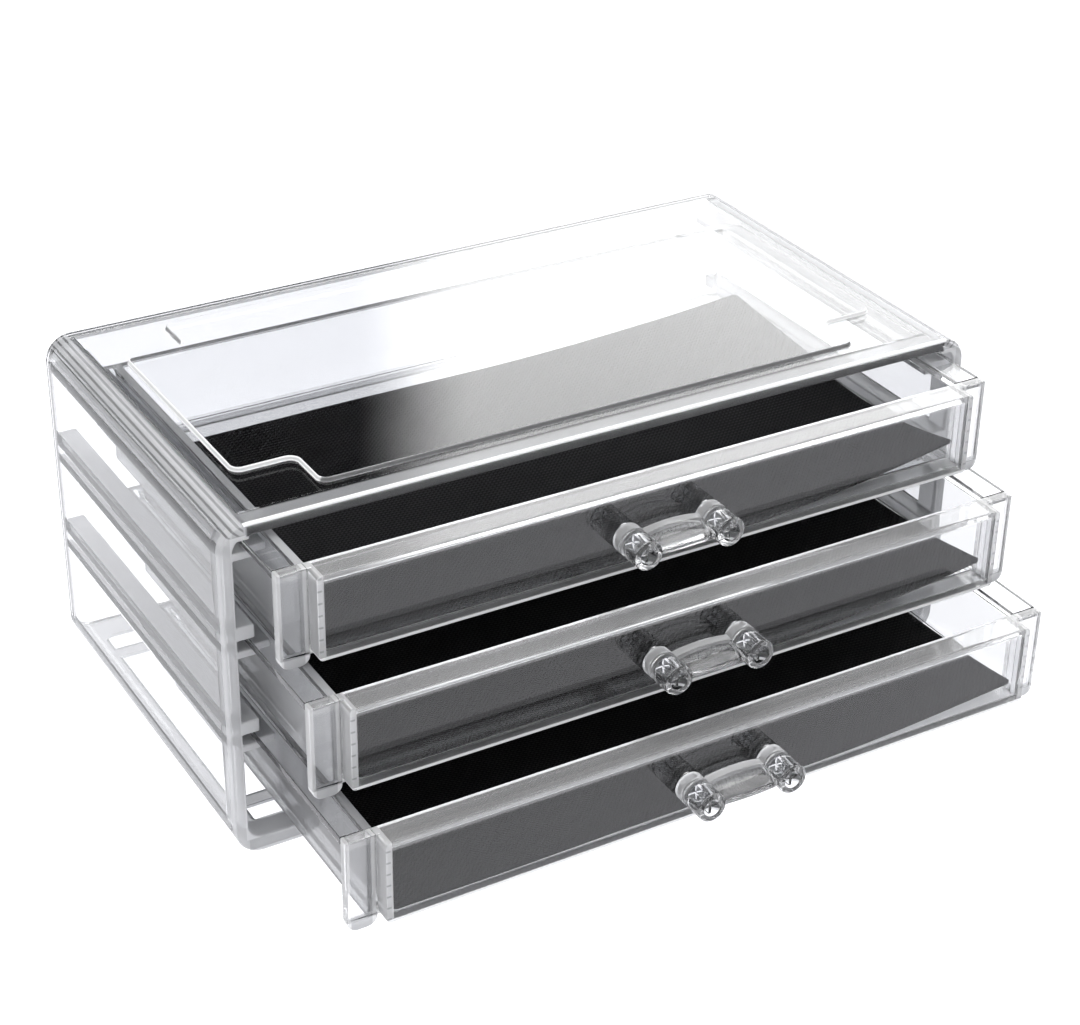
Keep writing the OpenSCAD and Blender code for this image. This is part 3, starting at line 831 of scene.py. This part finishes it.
class ORGANIZER_OT_stage(Operator):
    """Sets up the lit table, the soft light and the camera"""
    bl_idname = "organizer.stage"
    bl_label = "Stage"

    def execute(self, context):
        stage = context.scene.organizer_stage
        self.table(stage)
        self.light(context, stage)
        self.camera(context, stage)
        context.scene.view_settings.view_transform = "Standard"
        context.scene.view_settings.look = "Medium High Contrast"
        return {"FINISHED"}

    def table(self, stage):
        """A round white table: rings of points whose radius grows by a power, 0.3 mm under the part."""
        angle = np.linspace(0, 2 * np.pi, 64, endpoint=False)
        radius = (np.linspace(0, 1, 24) ** 3 * 30)[:, None]
        points = np.stack([radius * np.cos(angle), radius * np.sin(angle),
                           -0.3 * MM + 0 * radius * angle], axis=-1)
        mesh = joined("table", [grid_mesh("rings", points, ring=True)])
        if mesh.polygons[0].normal.z < 0:
            mesh.flip_normals()
        material, graph = new_material("lit white table")
        grain = graph.value("ShaderNodeTexNoise", "Fac", None,
                            {"Vector": graph.value("ShaderNodeTexCoord", "Object"), "Scale": 9.0})
        shader = graph.node("ShaderNodeBsdfPrincipled", None, {
            "Base Color": graph.colours(grain, (0.2, 0.2, 0.205, 1), (0.22, 0.22, 0.22, 1)),
            "Roughness": 0.8, "Specular IOR Level": 0.0,
            "Emission Color": (0.97, 0.973, 1.0, 1.0), "Emission Strength": stage.floor_glow})
        graph.node("ShaderNodeOutputMaterial", None, {"Surface": shader.outputs["BSDF"]})
        mesh.materials.append(material)
        table = bpy.data.objects.new("table", mesh)
        bpy.context.scene.collection.objects.link(table)

    def light(self, context, stage):
        """The room as a soft light all round: pale at eye level, a soft box behind the right side,
        a broad one overhead, and dark behind the left side. Each is a smooth step in the height
        or the azimuth of the direction."""
        world = bpy.data.worlds.new("soft room")
        context.scene.world = world
        world.use_nodes = True
        graph = Graph(world.node_tree)
        way = graph.node("ShaderNodeSeparateXYZ", None,
                         {"Vector": graph.node("ShaderNodeTexCoord").outputs["Generated"]})
        x, y, z = (Value(graph, way.outputs[axis]) for axis in "XYZ")
        turn = graph.value("ShaderNodeMath", 0, {"operation": "ARCTAN2"}, {0: x, 1: y})

        def higher(low, high):
            return z.step(math.sin(math.radians(low)), math.sin(math.radians(high)))

        def righter(low, high):
            return turn.step(math.radians(low), math.radians(high))

        above, overhead, side = higher(4, 14), higher(52, 66), righter(25.5, 29)
        box = side * (1.0 + righter(31, 45) * 0.35) * (1.0 - righter(80, 95)) * higher(7, 20)
        gloom = righter(-8, 10) * (1.0 - side) * (1.0 - higher(33, 44))
        room = (1.0 - above) * 0.9 + above * (
            (1.0 - gloom) * stage.fill_light + box * stage.box_light + overhead * stage.top_light)
        back = graph.node("ShaderNodeBackground", None, {"Color": (1, 1, 1, 1), "Strength": room})
        graph.node("ShaderNodeOutputWorld", None, {"Surface": back.outputs[0]})

    def camera(self, context, stage):
        """Looks along minus the direction given by azimuth and elevation, turned by the roll."""
        camera = bpy.data.objects.new("camera", bpy.data.cameras.new("camera"))
        camera.data.lens = stage.lens
        camera.data.sensor_width = 36.0
        camera.data.sensor_fit = "HORIZONTAL"
        camera.data.clip_end = 100.0
        back = Vector((math.sin(stage.azimuth) * math.cos(stage.elevation),
                       -math.cos(stage.azimuth) * math.cos(stage.elevation), math.sin(stage.elevation)))
        right = Vector((0, 0, 1)).cross(back).normalized()
        above = back.cross(right)
        side = right * math.cos(stage.roll) + above * math.sin(stage.roll)
        top = above * math.cos(stage.roll) - right * math.sin(stage.roll)
        turn = Matrix((side, top, back)).transposed().to_4x4()
        camera.matrix_world = Matrix.Translation(stage.place) @ turn
        context.scene.collection.objects.link(camera)
        context.scene.camera = camera


class ORGANIZER_PT_panel(Panel):
    """Lists the organizer's settings and the steps that build it"""
    bl_idname = "ORGANIZER_PT_panel"
    bl_label = "Drawer Organizer"
    bl_space_type = "VIEW_3D"
    bl_region_type = "UI"
    bl_category = "Organizer"

    def draw(self, context):
        for step in STEPS:
            self.layout.operator(step.bl_idname)
        for group in (context.scene.organizer_looks, context.scene.organizer_stage):
            column = self.layout.column(align=True)
            for name in type(group).__annotations__:
                column.prop(group, name)


STEPS = (ORGANIZER_OT_casing, ORGANIZER_OT_drawers, ORGANIZER_OT_pulls, ORGANIZER_OT_mats,
         ORGANIZER_OT_stage)
CLASSES = (OrganizerLooks, OrganizerStage, *STEPS, ORGANIZER_PT_panel)


def register():
    for cls in CLASSES:
        bpy.utils.register_class(cls)
    bpy.types.Scene.organizer_looks = PointerProperty(type=OrganizerLooks)
    bpy.types.Scene.organizer_stage = PointerProperty(type=OrganizerStage)


def unregister():
    del bpy.types.Scene.organizer_stage
    del bpy.types.Scene.organizer_looks
    for cls in reversed(CLASSES):
        bpy.utils.unregister_class(cls)


def main():
    register()
    bpy.ops.organizer.casing()
    bpy.ops.organizer.drawers()
    bpy.ops.organizer.pulls()
    bpy.ops.organizer.mats()
    bpy.ops.organizer.stage()
    bpy.context.view_layer.update()


if __name__ == "__main__":
    main()
